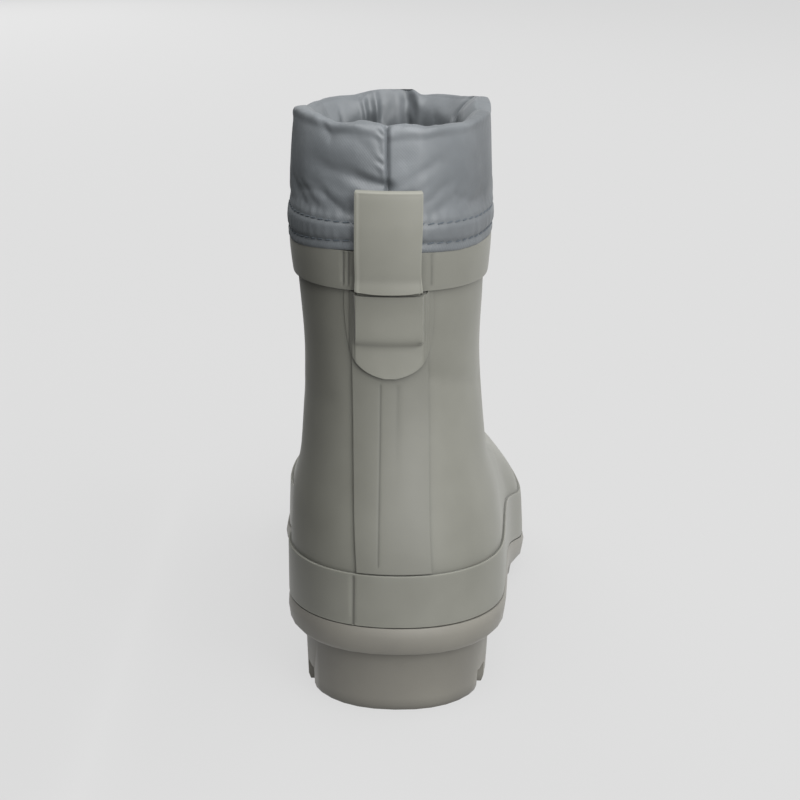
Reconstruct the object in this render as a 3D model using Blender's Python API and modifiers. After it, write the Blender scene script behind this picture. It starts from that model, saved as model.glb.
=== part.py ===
"""Right-foot rain boot: lugged rubber sole, lofted rubber upper and a padded nylon collar.

Lengths in the tables are millimetres in the boot's own layout: x across, lateral side positive,
zero on the heel's centre line; y from the back of the sole toward the toe; z up from the floor.
The finished nodes are moved so that the bottom centre of the boot is the origin.
"""
import math
from collections import namedtuple
from functools import lru_cache

import bmesh
import bpy
import numpy as np

MM = 0.001

# Driving sizes
SOLE_LENGTH = 284.0
REACH_LATERAL = 59.0    # widest reach of the sole from the heel's centre line, outer side
REACH_MEDIAL = 51.4     # and inner side
FRAME_SHIFT = np.array(((REACH_MEDIAL - REACH_LATERAL) / 2, -SOLE_LENGTH / 2, 0.0))

WALL = 2.2              # rubber wall of the upper
GAP = 0.3               # between neighbouring curved pieces
FOXING_THICK = 0.9
STAY_THICK = 0.7
BAND_THICK = 1.5
TAB_STRIP = 1.4         # the pull tab is a strip folded over on itself
PATCH_THICK = 1.2
INSOLE_THICK = 4.0
INSOLE_SEAT = 0.6       # clearance under the insole, over the curve of the sole

SQUARENESS = 2.2        # exponent of the rounded ends, 2 is an ellipse
HEEL_STEPS, MIDDLE_STEPS, TOE_STEPS = 8, 9, 9
HEEL_STATION = 0.18
WAIST_STATION = {1: 0.50, -1: 0.42}    # shares of the length, lateral and medial side
BALL_STATION = {1: 0.63, -1: 0.69}

# One row per section of the upper, from the feather edge up. A section runs from its point on
# the back to its point on the front. Lean is the sideways place of the section's own line;
# outside reaches at heel, waist and ball are measured from that line, and so is the toe's centre.
# Follow is how far the section takes up the rise and fall of the flange.
Section = namedtuple("Section", "name heel_y heel_z toe_y toe_z lean heel waist_lateral ball_lateral "
                                "waist_medial ball_medial toe_centre "
                                "heel_round toe_round_lateral toe_round_medial follow")
UPPER = (
    Section("feather", 1.8, 37.3, 282.2, 25.3, 2.1, 43.0, 47.8, 55.4, 38.5, 51.3, 1.0, 0.19, 0.34, 0.25, 1.0),
    Section("foxing_top", 1.6, 58.6, 281.6, 46.4, 1.7, 43.0, 47.3, 54.4, 38.5, 50.6, 1.0, 0.195, 0.37, 0.27, 1.0),
    Section("toe_roll", 2.8, 68.0, 273.0, 58.0, 1.1, 42.4, 45.2, 53.6, 38.5, 47.0, 0.9, 0.205, 0.50, 0.34, 1.1),
    Section("toe_top", 5.0, 78.0, 247.0, 66.5, 0.6, 41.6, 41.8, 41.5, 38.4, 38.5, 0.8, 0.23, 0.52, 0.42, 0.75),
    Section("vamp", 8.0, 88.0, 209.0, 71.0, 0.3, 39.9, 38.6, 34.0, 38.0, 34.0, 0.6, 0.27, 0.50, 0.46, 0.45),
    Section("ball", 11.0, 98.0, 173.0, 77.5, 0.05, 38.0, 37.4, 33.6, 37.0, 33.6, 0.4, 0.31, 0.50, 0.48, 0.2),
    Section("instep", 13.6, 108.5, 149.0, 91.0, -0.2, 36.9, 36.6, 34.4, 36.4, 34.2, 0.2, 0.35, 0.48, 0.48, 0.0),
    Section("bend", 15.6, 121.0, 133.5, 110.0, -0.5, 35.7, 35.6, 34.2, 35.6, 34.2, 0.0, 0.38, 0.46, 0.46, 0.0),
    Section("throat", 16.6, 138.0, 123.0, 134.0, -1.0, 34.8, 34.8, 34.4, 34.8, 34.4, 0.0, 0.40, 0.44, 0.44, 0.0),
    Section("shaft", 16.0, 156.0, 117.8, 156.0, -1.5, 36.0, 36.0, 36.0, 36.0, 36.0, 0.0, 0.42, 0.43, 0.43, 0.0),
    Section("band_low", 14.8, 168.0, 116.0, 168.0, -1.9, 36.9, 36.9, 36.9, 36.9, 36.9, 0.0, 0.44, 0.44, 0.44, 0.0),
    Section("flare", 13.0, 182.0, 116.6, 182.0, -2.2, 38.2, 38.2, 38.2, 38.2, 38.2, 0.0, 0.45, 0.45, 0.45, 0.0),
    Section("top", 12.0, 194.5, 117.2, 194.5, -2.1, 38.2, 38.2, 38.2, 38.2, 38.2, 0.0, 0.46, 0.46, 0.46, 0.0),
)
LAST_ROW = len(UPPER) - 1
UPPER_RINGS = np.arange(0, LAST_ROW + 0.25, 0.5)
ROW = {section.name: index for index, section in enumerate(UPPER)}

# The sole's outline and its heights along the foot
SOLE_LEAN = 2.4
SOLE = Section("sole", 0.0, 0.0, SOLE_LENGTH, 0.0, SOLE_LEAN, 44.4, 49.2, REACH_LATERAL - SOLE_LEAN,
               40.0, REACH_MEDIAL + SOLE_LEAN, 1.0, 0.19, 0.34, 0.25, 0.0)
FLANGE_TOP = ((0, 37), (60, 36), (95, 33), (130, 27.7), (155, 22.2), (180, 17), (205, 15.2), (250, 18), (284, 25))
FLANGE_THICK = ((0, 11.3), (70, 11.5), (130, 12), (155, 11.4), (180, 8.6), (205, 7.6), (284, 7.5))
TREAD_BOTTOM = ((0, 0), (225, 0), (250, 2.2), (268, 6.5), (284, 13))

# Rings of the sole from the top edge down: inset from the outline at the back, the heel's sides
# and the forefoot, share of the way down the flange, then share of the way from flange to tread.
SoleRing = namedtuple("SoleRing", "name inset_back inset_side inset_fore flange_share tread_share")
SOLE_RINGS = (
    SoleRing("top_edge", 0.6, 0.6, 0.6, 0.0, 0.0),
    SoleRing("belly", 0.0, 0.0, 0.0, 0.35, 0.0),
    SoleRing("turn", 0.8, 0.8, 0.6, 0.82, 0.0),
    SoleRing("lower_edge", 2.6, 2.6, 2.0, 1.0, 0.0),
    SoleRing("block_top", 7.0, 7.0, 4.6, 1.0, 0.0),
    SoleRing("block_low", 8.6, 8.0, 5.6, 1.0, 0.92),
    SoleRing("tread_edge", 9.4, 8.7, 6.4, 1.0, 1.0),
)
BLOCK_STATIONS = (0.30, 0.45)          # where the heel inset gives way to the forefoot inset

# Arch gap between heel block and forefoot, and the grooves that part the lugs
ARCH_BACK, ARCH_FRONT = 83.0, 121.0
ARCH_TOP_BACK, ARCH_TOP_FRONT = 20.0, 14.5
ARCH_ROUND = 5.0
HEEL_GROOVES = (36.8, 62.0)
HEEL_GROOVE_WIDE, HEEL_GROOVE_DEEP = 10.0, 8.5
FORE_GROOVE_FIRST, FORE_GROOVE_PITCH, FORE_GROOVE_COUNT = 139.0, 18.0, 7
FORE_GROOVE_WIDE, FORE_GROOVE_DEEP, FORE_GROOVE_SLANT = 6.0, 4.5, 14.0

# Collar profile: height, and how far outside the shaft's top outline. The first rows are the
# skirt over the shaft; the last ones step over its top edge and back down inside the skirt.
Profile = namedtuple("Profile", "name z out")
COLLAR = (
    Profile("hem", 184.2, 2.2),
    Profile("skirt", 190.0, 2.4),
    Profile("bulge", 197.0, 2.1),
    Profile("wall_low", 206.0, 1.3),
    Profile("wall_high", 216.0, 1.1),
    Profile("shoulder", 225.0, 1.1),
    Profile("rim_out", 229.6, -0.4),
    Profile("rim_top", 231.4, -3.8),
    Profile("rim_in", 229.8, -7.4),
    Profile("lining_high", 223.0, -9.8),
    Profile("lining_low", 207.0, -8.6),
    Profile("lining_foot", 198.5, -6.0),
    Profile("seat_in", 195.2, -4.0),
    Profile("seat_out", 195.2, GAP),
    Profile("hem_in", 184.2, GAP),
)

# Parts on the back: height ranges, half widths about the boot's centre line, raised steps
STAY_HALF = 14.4
TAB_HALF = 11.1         # at the upper's face; the strip lies further out, where it is wider
TAB_FOOT, TAB_TOP, TAB_END = 149.0, 207.5, 165.4
Step = namedtuple("Step", "z out")
TAB_BACK = (            # boot side of the hidden layer, measured out from the upper
    Step(149.0, 1.3), Step(158.0, 1.3), Step(164.0, 1.5), Step(167.5, 2.1), Step(172.0, 2.2),
    Step(178.0, 2.3), Step(184.0, 2.7), Step(190.0, 3.0), Step(207.5, 3.2),
)
TAB_FRONT = (           # boot side of the front layer, its end lapped over the patch
    Step(165.4, 5.3), Step(167.4, 5.3), Step(169.5, 4.7), Step(173.0, 4.1), Step(178.0, 4.2),
    Step(184.0, 4.6), Step(190.0, 4.9), Step(207.5, 5.1),
)
PATCH_STEP = 148.3      # the patch drops from over the tab's foot to the stay below it
PatchRow = namedtuple("PatchRow", "z half")
PATCH_ROWS = (
    PatchRow(167.2, 16.6), PatchRow(161.0, 16.8), PatchRow(155.0, 16.6), PatchRow(PATCH_STEP + 0.3, 15.9),
    PatchRow(PATCH_STEP - 1.2, 15.6), PatchRow(143.5, 14.6), PatchRow(139.5, 12.4), PatchRow(136.5, 9.4),
    PatchRow(134.6, 5.9), PatchRow(133.6, 2.3),
)

MATERIALS = {           # colour, roughness
    "rubber": ((0.26, 0.25, 0.225), 0.5),
    "sole_rubber": ((0.25, 0.24, 0.215), 0.55),
    "nylon": ((0.22, 0.245, 0.265), 0.7),
    "foam": ((0.12, 0.12, 0.115), 0.9),
}


def through(table, at):
    """Value of a short table at a place: monotone cubic between rows, flat beyond the ends."""
    places = np.array([row[0] for row in table], float)
    values = np.array([row[1] for row in table], float)
    slopes = np.diff(values) / np.diff(places)
    tangents = np.concatenate((slopes[:1], np.zeros(len(slopes) - 1), slopes[-1:]))
    for i in range(1, len(slopes)):
        if slopes[i - 1] * slopes[i] > 0:
            tangents[i] = 2 * slopes[i - 1] * slopes[i] / (slopes[i - 1] + slopes[i])
    at = min(max(at, places[0]), places[-1])
    i = min(int(np.searchsorted(places, at, side="right")) - 1, len(slopes) - 1)
    step = places[i + 1] - places[i]
    t = (at - places[i]) / step
    return ((2 * t**3 - 3 * t**2 + 1) * values[i] + (t**3 - 2 * t**2 + t) * step * tangents[i]
            + (3 * t**2 - 2 * t**3) * values[i + 1] + (t**3 - t**2) * step * tangents[i + 1])


def ease(low, high, at):
    """Smooth step from 0 at low to 1 at high."""
    t = min(max((at - low) / (high - low), 0.0), 1.0)
    return t * t * (3 - 2 * t)


@lru_cache(maxsize=None)
def section_at(v):
    """Upper section between table rows; v counts rows from the feather edge."""
    numbers = [through([(i, row[k]) for i, row in enumerate(UPPER)], v) for k in range(1, len(Section._fields))]
    return Section("blend", *numbers)


@lru_cache(maxsize=None)
def row_at_back(z):
    """Row count v whose section meets the back of the boot at height z."""
    counts = np.linspace(0, LAST_ROW, 601)
    return float(np.interp(z, [section_at(round(v, 6)).heel_z for v in counts], counts))


def outline_point(section, u):
    """Point of a section: u runs 0 at the back, through 3 at the toe; negative on the medial side."""
    side = 1 if u >= 0 else -1
    station = abs(u)
    toe_round = section.toe_round_lateral if side > 0 else section.toe_round_medial
    power = 2 / SQUARENESS
    if station <= 1:
        turn = station * math.pi / 2
        share, along = math.sin(turn) ** power, section.heel_round * (1 - abs(math.cos(turn)) ** power)
    elif station <= 2:
        share, along = 1.0, section.heel_round + (station - 1) * (1 - toe_round - section.heel_round)
    else:
        turn = (station - 2) * math.pi / 2
        share, along = abs(math.cos(turn)) ** power, 1 - toe_round * (1 - math.sin(turn) ** power)
    waist, ball = ((section.waist_lateral, section.ball_lateral) if side > 0
                   else (section.waist_medial, section.ball_medial))
    reach = through(((HEEL_STATION, section.heel), (WAIST_STATION[side], waist), (BALL_STATION[side], ball)), along)
    centre = section.toe_centre * ease(0.2, 0.9, along)
    y = section.heel_y + along * (section.toe_y - section.heel_y)
    z = section.heel_z + along * (section.toe_z - section.heel_z)
    if section.follow:
        straight = (1 - along) * through(FLANGE_TOP, section.heel_y) + along * through(FLANGE_TOP, section.toe_y)
        z += section.follow * (through(FLANGE_TOP, y) - straight)
    return np.array((section.lean + centre + (side * reach - centre) * share, y, z))


def wrap(u):
    return u - 6 if u > 3 else u + 6 if u < -3 else u


def upper_point(v, u):
    return outline_point(section_at(round(min(max(v, 0), LAST_ROW), 6)), wrap(u))


def upper_normal(v, u):
    """Outward normal of the upper's outer face."""
    across = upper_point(v, u + 0.03) - upper_point(v, u - 0.03)
    up = upper_point(v + 0.05, u) - upper_point(v - 0.05, u)
    normal = np.cross(across, up)
    return normal / np.linalg.norm(normal)


def raised(v, u, out):
    return upper_point(v, u) + out * upper_normal(v, u)


def back_u(v, x):
    """Place on a section's heel curve that lies x off the centre line."""
    half = section_at(round(min(max(v, 0), LAST_ROW), 6)).heel
    return math.copysign(math.asin((abs(x) / half) ** (SQUARENESS / 2)) / (math.pi / 2), x)


def around():
    """Columns of a closed ring: back, lateral side, toe, medial side."""
    stations = ([i / HEEL_STEPS for i in range(HEEL_STEPS)]
                + [1 + i / MIDDLE_STEPS for i in range(MIDDLE_STEPS)]
                + [2 + i / TOE_STEPS for i in range(TOE_STEPS + 1)])
    return stations + [-u for u in reversed(stations[1:-1])]


RING = around()


def material(name):
    made = bpy.data.materials.get(name)
    if made is None:
        made = bpy.data.materials.new(name)
        made.use_nodes = True
        shader = made.node_tree.nodes["Principled BSDF"]
        colour, roughness = MATERIALS[name]
        shader.inputs["Base Color"].default_value = (*colour, 1.0)
        shader.inputs["Roughness"].default_value = roughness
        shader.inputs["Metallic"].default_value = 0.0
    return made


def node(name, points, faces, finish, collection, smooth_angle=40):
    """Object from points in the boot's layout, moved into the shared frame."""
    mesh = bpy.data.meshes.new(name)
    mesh.from_pydata([tuple((np.asarray(point) + FRAME_SHIFT) * MM) for point in points], [], faces)
    mesh.materials.append(material(finish))
    mesh.shade_smooth()
    mesh.set_sharp_from_angle(angle=math.radians(smooth_angle))
    made = bpy.data.objects.new(name, mesh)
    collection.objects.link(made)
    return made


def grid_faces(rows, columns, closed, first=0, flip=False):
    """Quads of a grid of points; closed grids join the last column to the first."""
    faces = []
    for i in range(rows - 1):
        for j in range(columns if closed else columns - 1):
            k = (j + 1) % columns
            quad = [first + i * columns + j, first + i * columns + k,
                    first + (i + 1) * columns + k, first + (i + 1) * columns + j]
            faces.append([quad[0]] + quad[:0:-1] if flip else quad)
    return faces


def solid_between(name, inner, outer, closed, finish, collection):
    """Closed solid between two grids of points that lie over each other."""
    rows, columns = len(inner), len(inner[0])
    points = [p for row in inner for p in row] + [p for row in outer for p in row]
    shift = rows * columns
    faces = grid_faces(rows, columns, closed, flip=True) + grid_faces(rows, columns, closed, first=shift)
    border = []
    if closed:
        loops = (range(columns), [(rows - 1) * columns + j for j in reversed(range(columns))])
        for loop in loops:
            loop = list(loop)
            border += list(zip(loop, loop[1:] + loop[:1]))
    else:
        loop = (list(range(columns)) + [i * columns + columns - 1 for i in range(1, rows)]
                + [(rows - 1) * columns + j for j in reversed(range(columns - 1))]
                + [i * columns for i in reversed(range(1, rows - 1))])
        border = list(zip(loop, loop[1:] + loop[:1]))
    faces += [[a, b, b + shift, a + shift] for a, b in border]
    return node(name, points, faces, finish, collection)


def zipped_cap(ring, first):
    """Triangles that close a ring by walking its two sides from the back to the toe together."""
    count = len(ring)
    lateral = list(range(count // 2 + 1))
    medial = [0] + list(range(count - 1, count // 2 - 1, -1))
    faces = []
    i = j = 0
    while i < len(lateral) - 1 or j < len(medial) - 1:
        ahead_l = ring[lateral[i + 1]][1] if i < len(lateral) - 1 else math.inf
        ahead_m = ring[medial[j + 1]][1] if j < len(medial) - 1 else math.inf
        if ahead_l <= ahead_m:
            faces.append((lateral[i], lateral[i + 1], medial[j]))
            i += 1
        else:
            faces.append((lateral[i], medial[j + 1], medial[j]))
            j += 1
    return [[first + corner for corner in face] for face in faces if len(set(face)) == 3]


def capped_loft(name, rings, finish, collection):
    """Closed solid through rings listed from the bottom up, its ends closed across."""
    count = len(RING)
    points = [p for ring in rings for p in ring]
    faces = grid_faces(len(rings), count, True)
    faces += [face[::-1] for face in zipped_cap(rings[0], 0)]
    faces += zipped_cap(rings[-1], (len(rings) - 1) * count)
    return node(name, points, faces, finish, collection)


def sole_point(u, inset, z):
    """Point inset square to the sole's outline."""
    here = outline_point(SOLE, u)
    along = outline_point(SOLE, wrap(u + 0.03)) - outline_point(SOLE, wrap(u - 0.03))
    inward = np.array((-along[1], along[0], 0.0)) / np.hypot(along[0], along[1])
    x, y, _ = here + inset * inward
    return np.array((x, y, z(y)))


def make_outsole(collection, cutters):
    rings = []
    for row in reversed(SOLE_RINGS):
        def height(y, row=row):
            top, bottom = through(FLANGE_TOP, y), through(TREAD_BOTTOM, y)
            flange = top - row.flange_share * through(FLANGE_THICK, y)
            return flange + row.tread_share * (bottom - flange)
        ring = []
        for u in RING:
            backward = math.cos(min(abs(u), 1) * math.pi / 2)
            heel = row.inset_side + backward * (row.inset_back - row.inset_side)
            share = ease(*BLOCK_STATIONS, outline_point(SOLE, u)[1] / SOLE_LENGTH)
            ring.append(sole_point(u, heel + share * (row.inset_fore - heel), height))
        rings.append(ring)
    outsole = capped_loft("outsole", rings, "sole_rubber", collection)

    wide = REACH_LATERAL + REACH_MEDIAL + 20
    arch = block("cut_arch", (0, (ARCH_BACK + ARCH_FRONT) / 2, 0), (wide, ARCH_FRONT - ARCH_BACK, 40), 0, cutters)
    for vertex in arch.data.vertices:
        if vertex.co.z > 0:
            back = vertex.co.y / MM < (ARCH_BACK + ARCH_FRONT - SOLE_LENGTH) / 2
            vertex.co.z = (ARCH_TOP_BACK if back else ARCH_TOP_FRONT) * MM
    soften = arch.modifiers.new("round_roof", 'BEVEL')
    soften.width = ARCH_ROUND * MM
    soften.segments = 3
    for i, y in enumerate(HEEL_GROOVES):
        block(f"cut_heel_groove_{i}", (0, y, 0), (wide, HEEL_GROOVE_WIDE, 2 * HEEL_GROOVE_DEEP), 0, cutters)
    for i in range(FORE_GROOVE_COUNT):
        y = FORE_GROOVE_FIRST + i * FORE_GROOVE_PITCH
        high = 2 * (through(TREAD_BOTTOM, y) + FORE_GROOVE_DEEP)
        for side in (1, -1):
            reach = wide / 2
            slant = -side * FORE_GROOVE_SLANT
            middle = (SOLE_LEAN + side * (reach / 2 - 1.5) * math.cos(math.radians(slant)),
                      y + side * (reach / 2) * math.sin(math.radians(slant)), 0)
            block(f"cut_fore_groove_{i}_{'outer' if side > 0 else 'inner'}", middle,
                  (reach, FORE_GROOVE_WIDE, high), slant, cutters)
    cut = outsole.modifiers.new("arch_and_grooves", 'BOOLEAN')
    cut.operation = 'DIFFERENCE'
    cut.solver = 'EXACT'
    cut.operand_type = 'COLLECTION'
    cut.collection = cutters


def block(name, centre, size, turn, cutters):
    """Box cutter at a place in the boot's layout, turned about the vertical."""
    mesh = bpy.data.meshes.new(name)
    made = bmesh.new()
    bmesh.ops.create_cube(made, size=1.0)
    swing = math.radians(turn)
    for vertex in made.verts:
        x, y, z = vertex.co.x * size[0], vertex.co.y * size[1], vertex.co.z * size[2]
        local = np.array((x * math.cos(swing) - y * math.sin(swing), x * math.sin(swing) + y * math.cos(swing), z))
        vertex.co = (local + np.array(centre) + FRAME_SHIFT) * MM
    made.to_mesh(mesh)
    made.free()
    cutter = bpy.data.objects.new(name, mesh)
    cutter.display_type = 'WIRE'
    cutter.hide_render = True
    cutters.objects.link(cutter)
    return cutter


def make_upper(collection):
    rings = [[upper_point(v, u) for u in RING] for v in UPPER_RINGS]
    upper = node("upper", [p for ring in rings for p in ring],
                 grid_faces(len(rings), len(RING), True), "rubber", collection)
    shell = upper.modifiers.new("wall", 'SOLIDIFY')
    shell.thickness = WALL * MM
    shell.offset = -1


def make_wraps(collection):
    """Foxing round the foot and the band round the top of the shaft."""
    for name, rows, thick in (
            ("foxing", (0, 0.5, 1), FOXING_THICK),
            ("top_band", np.linspace(ROW["band_low"], row_at_back(183.7), 4), BAND_THICK)):
        inner = [[raised(v, u, GAP) for u in RING] for v in rows]
        outer = [[raised(v, u, GAP + thick) for u in RING] for v in rows]
        solid_between(name, inner, outer, True, "rubber", collection)


def make_stay(collection):
    """Strip up the back from the foxing to the band."""
    inner, outer = [], []
    for z in np.linspace(UPPER[ROW["foxing_top"]].heel_z + 0.5, UPPER[ROW["band_low"]].heel_z - 0.5, 19):
        v = row_at_back(z)
        spread = [back_u(v, STAY_HALF * share) for share in np.linspace(-1, 1, 7)]
        inner.append([raised(v, u, GAP) for u in spread])
        outer.append([raised(v, u, GAP + STAY_THICK) for u in spread])
    solid_between("back_stay", inner, outer, False, "rubber", collection)


def tab_line():
    """Middle of the strip as height and reach: up the hidden layer, over the fold, down the front."""
    half = TAB_STRIP / 2
    radius = (TAB_FRONT[-1].out - TAB_BACK[-1].out) / 2
    turn = TAB_TOP - half - radius
    line = [(z, through(TAB_BACK, z) + half) for z in np.linspace(TAB_FOOT, turn, 14)]
    middle = line[-1][1] + radius
    line += [(turn + radius * math.sin(a), middle - radius * math.cos(a)) for a in np.radians((45, 90, 135))]
    return np.array(line + [(z, through(TAB_FRONT, z) + half) for z in np.linspace(turn, TAB_END, 12)])


def make_tab(collection):
    """Strip from under the patch, over band and hem, folded at the top and lapped over the patch."""
    line = tab_line()
    ahead = np.vstack((line[1:], line[-1:])) - np.vstack((line[:1], line[:-1]))
    ahead /= np.linalg.norm(ahead, axis=1)[:, None]
    sides = []
    for sign in (-1, 1):
        rows = []
        for (z, out), (dz, dout) in zip(line, ahead):
            z, out = z - sign * dout * TAB_STRIP / 2, out + sign * dz * TAB_STRIP / 2
            v = row_at_back(min(z, UPPER[-1].heel_z))
            above = np.array((0, 0, max(z - UPPER[-1].heel_z, 0.0)))
            rows.append([raised(v, back_u(v, TAB_HALF * share), out) + above for share in np.linspace(-1, 1, 7)])
        sides.append(rows)
    solid_between("pull_tab", *sides, False, "rubber", collection)


def make_patch(collection):
    """U-shaped keeper: raised over the tab's foot, flat on the stay round it."""
    base = STAY_THICK + 2 * GAP
    inner, outer = [], []
    for row in PATCH_ROWS:
        v = row_at_back(row.z)
        edge = min(TAB_HALF + 1.6, row.half * 0.9)
        places = (row.half, (row.half + edge) / 2, edge, min(TAB_HALF + 0.5, row.half * 0.8), row.half * 0.4)
        places = [-x for x in places] + [0.0] + [x for x in reversed(places)]
        over = through(TAB_BACK, row.z) + TAB_STRIP + GAP if row.z > PATCH_STEP else base
        lift = [over if abs(x) < TAB_HALF + 0.6 else base for x in places]
        spread = [back_u(v, x) for x in places]
        inner.append([raised(v, u, out) for u, out in zip(spread, lift)])
        outer.append([raised(v, u, out + PATCH_THICK) for u, out in zip(spread, lift)])
    solid_between("tab_patch", inner[::-1], outer[::-1], False, "rubber", collection)


def make_collar(collection):
    """Padded ring closed round its own profile."""
    rows = []
    for profile in COLLAR:
        v = row_at_back(min(profile.z, UPPER[-1].heel_z))
        rise = np.array((0, 0, max(profile.z - UPPER[-1].heel_z, 0.0)))
        rows.append([level(v, u, profile.out) + rise for u in RING])
    count = len(RING)
    points = [p for row in rows for p in row]
    faces = grid_faces(len(rows), count, True)
    last = (len(rows) - 1) * count
    faces += [[last + j, last + (j + 1) % count, (j + 1) % count, j] for j in range(count)]
    node("collar", points, faces, "nylon", collection, smooth_angle=50)


def level(v, u, out):
    """Point off the upper, kept at the height of its section."""
    flat = upper_normal(v, u) * np.array((1, 1, 0))
    return upper_point(v, u) + out * flat / np.linalg.norm(flat)


def make_insole(collection):
    """Flat bed inside the feather edge of the upper, over the curve of the sole."""
    rings = []
    for rise, extra in ((INSOLE_SEAT, 0.6), (0.5 * INSOLE_THICK, 0.0), (INSOLE_THICK + INSOLE_SEAT, 0.5)):
        ring = [level(0, u, -(WALL + 2 * GAP + extra)) for u in RING]
        rings.append([np.array((x, y, through(FLANGE_TOP, y) + rise)) for x, y, _ in ring])
    capped_loft("insole", rings, "foam", collection)


def main():
    for existing in list(bpy.data.objects):
        bpy.data.objects.remove(existing, do_unlink=True)
    boot = bpy.data.collections.new("rain_boot")
    cutters = bpy.data.collections.new("rain_boot_cutters")
    for collection in (boot, cutters):
        bpy.context.scene.collection.children.link(collection)
    make_outsole(boot, cutters)
    make_upper(boot)
    make_wraps(boot)
    make_stay(boot)
    make_tab(boot)
    make_patch(boot)
    make_collar(boot)
    make_insole(boot)


main()
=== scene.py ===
import math

import bpy
import numpy as np
from mathutils import Matrix, Vector


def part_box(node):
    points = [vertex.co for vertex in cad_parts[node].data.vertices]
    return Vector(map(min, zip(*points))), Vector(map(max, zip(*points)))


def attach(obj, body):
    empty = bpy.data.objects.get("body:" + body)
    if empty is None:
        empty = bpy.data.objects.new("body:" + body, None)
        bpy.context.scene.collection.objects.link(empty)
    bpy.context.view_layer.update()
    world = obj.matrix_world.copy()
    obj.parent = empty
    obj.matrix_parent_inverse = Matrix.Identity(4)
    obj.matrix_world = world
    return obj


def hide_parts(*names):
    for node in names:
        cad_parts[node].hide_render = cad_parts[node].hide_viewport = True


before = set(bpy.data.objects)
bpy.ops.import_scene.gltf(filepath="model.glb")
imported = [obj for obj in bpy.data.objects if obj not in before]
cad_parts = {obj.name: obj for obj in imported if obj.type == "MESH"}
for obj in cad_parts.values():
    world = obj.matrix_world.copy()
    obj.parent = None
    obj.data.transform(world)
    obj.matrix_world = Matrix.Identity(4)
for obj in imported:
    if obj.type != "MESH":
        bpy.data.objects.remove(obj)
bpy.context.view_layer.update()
mm = 0.001
body = "root"


def hexColour(text):
    channels = [int(text[i:i + 2], 16) / 255 for i in (1, 3, 5)]
    linear = [c / 12.92 if c <= 0.04045 else ((c + 0.055) / 1.055) ** 2.4 for c in channels]
    return (*linear, 1.0)


def addNode(tree, kind, settings=None, inputs=None, links=None):
    made = tree.nodes.new(kind)
    for name, value in (settings or {}).items():
        setattr(made, name, value)
    for name, value in (inputs or {}).items():
        made.inputs[name].default_value = value
    for name, source in (links or {}).items():
        tree.links.new(source, made.inputs[name])
    return made


def newMaterial(name):
    made = bpy.data.materials.new(name)
    made.use_nodes = True
    return made, made.node_tree, made.node_tree.nodes["Principled BSDF"]


def onlySelect(piece):
    bpy.ops.object.select_all(action="DESELECT")
    piece.select_set(True)
    bpy.context.view_layer.objects.active = piece


def applyModifier(piece, kind, **settings):
    onlySelect(piece)
    modifier = piece.modifiers.new(kind.lower(), kind)
    for name, value in settings.items():
        setattr(modifier, name, value)
    bpy.ops.object.modifier_apply(modifier=modifier.name)


def copyOf(nodeName, pieceName):
    piece = bpy.data.objects.new(pieceName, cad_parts[nodeName].data.copy())
    bpy.context.scene.collection.objects.link(piece)
    piece.data.name = pieceName
    piece.data.materials.clear()
    onlySelect(piece)
    bpy.ops.mesh.customdata_custom_splitnormals_clear()
    bpy.ops.object.mode_set(mode="EDIT")
    bpy.ops.mesh.select_all(action="SELECT")
    bpy.ops.mesh.remove_doubles(threshold=0.01 * mm)  # the frame's meshes are loose triangles
    bpy.ops.mesh.tris_convert_to_quads(face_threshold=math.radians(50), shape_threshold=math.radians(70))
    bpy.ops.object.mode_set(mode="OBJECT")
    return piece


def readPoints(piece):
    count = len(piece.data.vertices)
    places = np.empty(count * 3, np.float32)
    normals = np.empty(count * 3, np.float32)
    piece.data.vertices.foreach_get("co", places)
    piece.data.vertices.foreach_get("normal", normals)
    return places.reshape(-1, 3).astype(float), normals.reshape(-1, 3).astype(float)


def writePoints(piece, places):
    piece.data.vertices.foreach_set("co", places.astype(np.float32).ravel())
    piece.data.update()


def finishPiece(piece, nodeName=None, angle=40):
    onlySelect(piece)
    bpy.ops.object.shade_smooth_by_angle(angle=math.radians(angle))
    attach(piece, body)
    if nodeName:
        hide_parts(nodeName)


def step(low, high, at):
    t = np.clip((at - low) / (high - low), 0, 1)
    return t * t * (3 - 2 * t)


# camera, at the photograph's own angle to the boot
cameraSettings = {
    "location": (0.009487, -1.033752, 0.372),
    "turn": 0.0585,
    "pitch": math.pi / 2 - 0.2595,
    "focalPixels": 1714,       # of the photograph, 800 pixels wide
    "aimPixels": (78, -11),    # middle of the boot, right of and above the photograph's middle
    "framePixels": 560,        # width of the photograph that the frame takes in
    "sensor": 36.0,
}


def makeCamera(settings):
    data = bpy.data.cameras.new("camera")
    data.sensor_width = settings["sensor"]
    data.lens = settings["sensor"] * settings["focalPixels"] / settings["framePixels"]
    data.clip_end = 50
    camera = bpy.data.objects.new("camera", data)
    bpy.context.scene.collection.objects.link(camera)
    straight = Matrix.Rotation(settings["turn"], 3, "Z") @ Matrix.Rotation(settings["pitch"], 3, "X")
    aim = Vector((*settings["aimPixels"], -settings["focalPixels"]))
    swing = Vector((0, 0, -1)).rotation_difference(aim).to_matrix()
    camera.location = settings["location"]
    camera.rotation_euler = (straight @ swing).to_euler()
    bpy.context.scene.camera = camera


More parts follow.
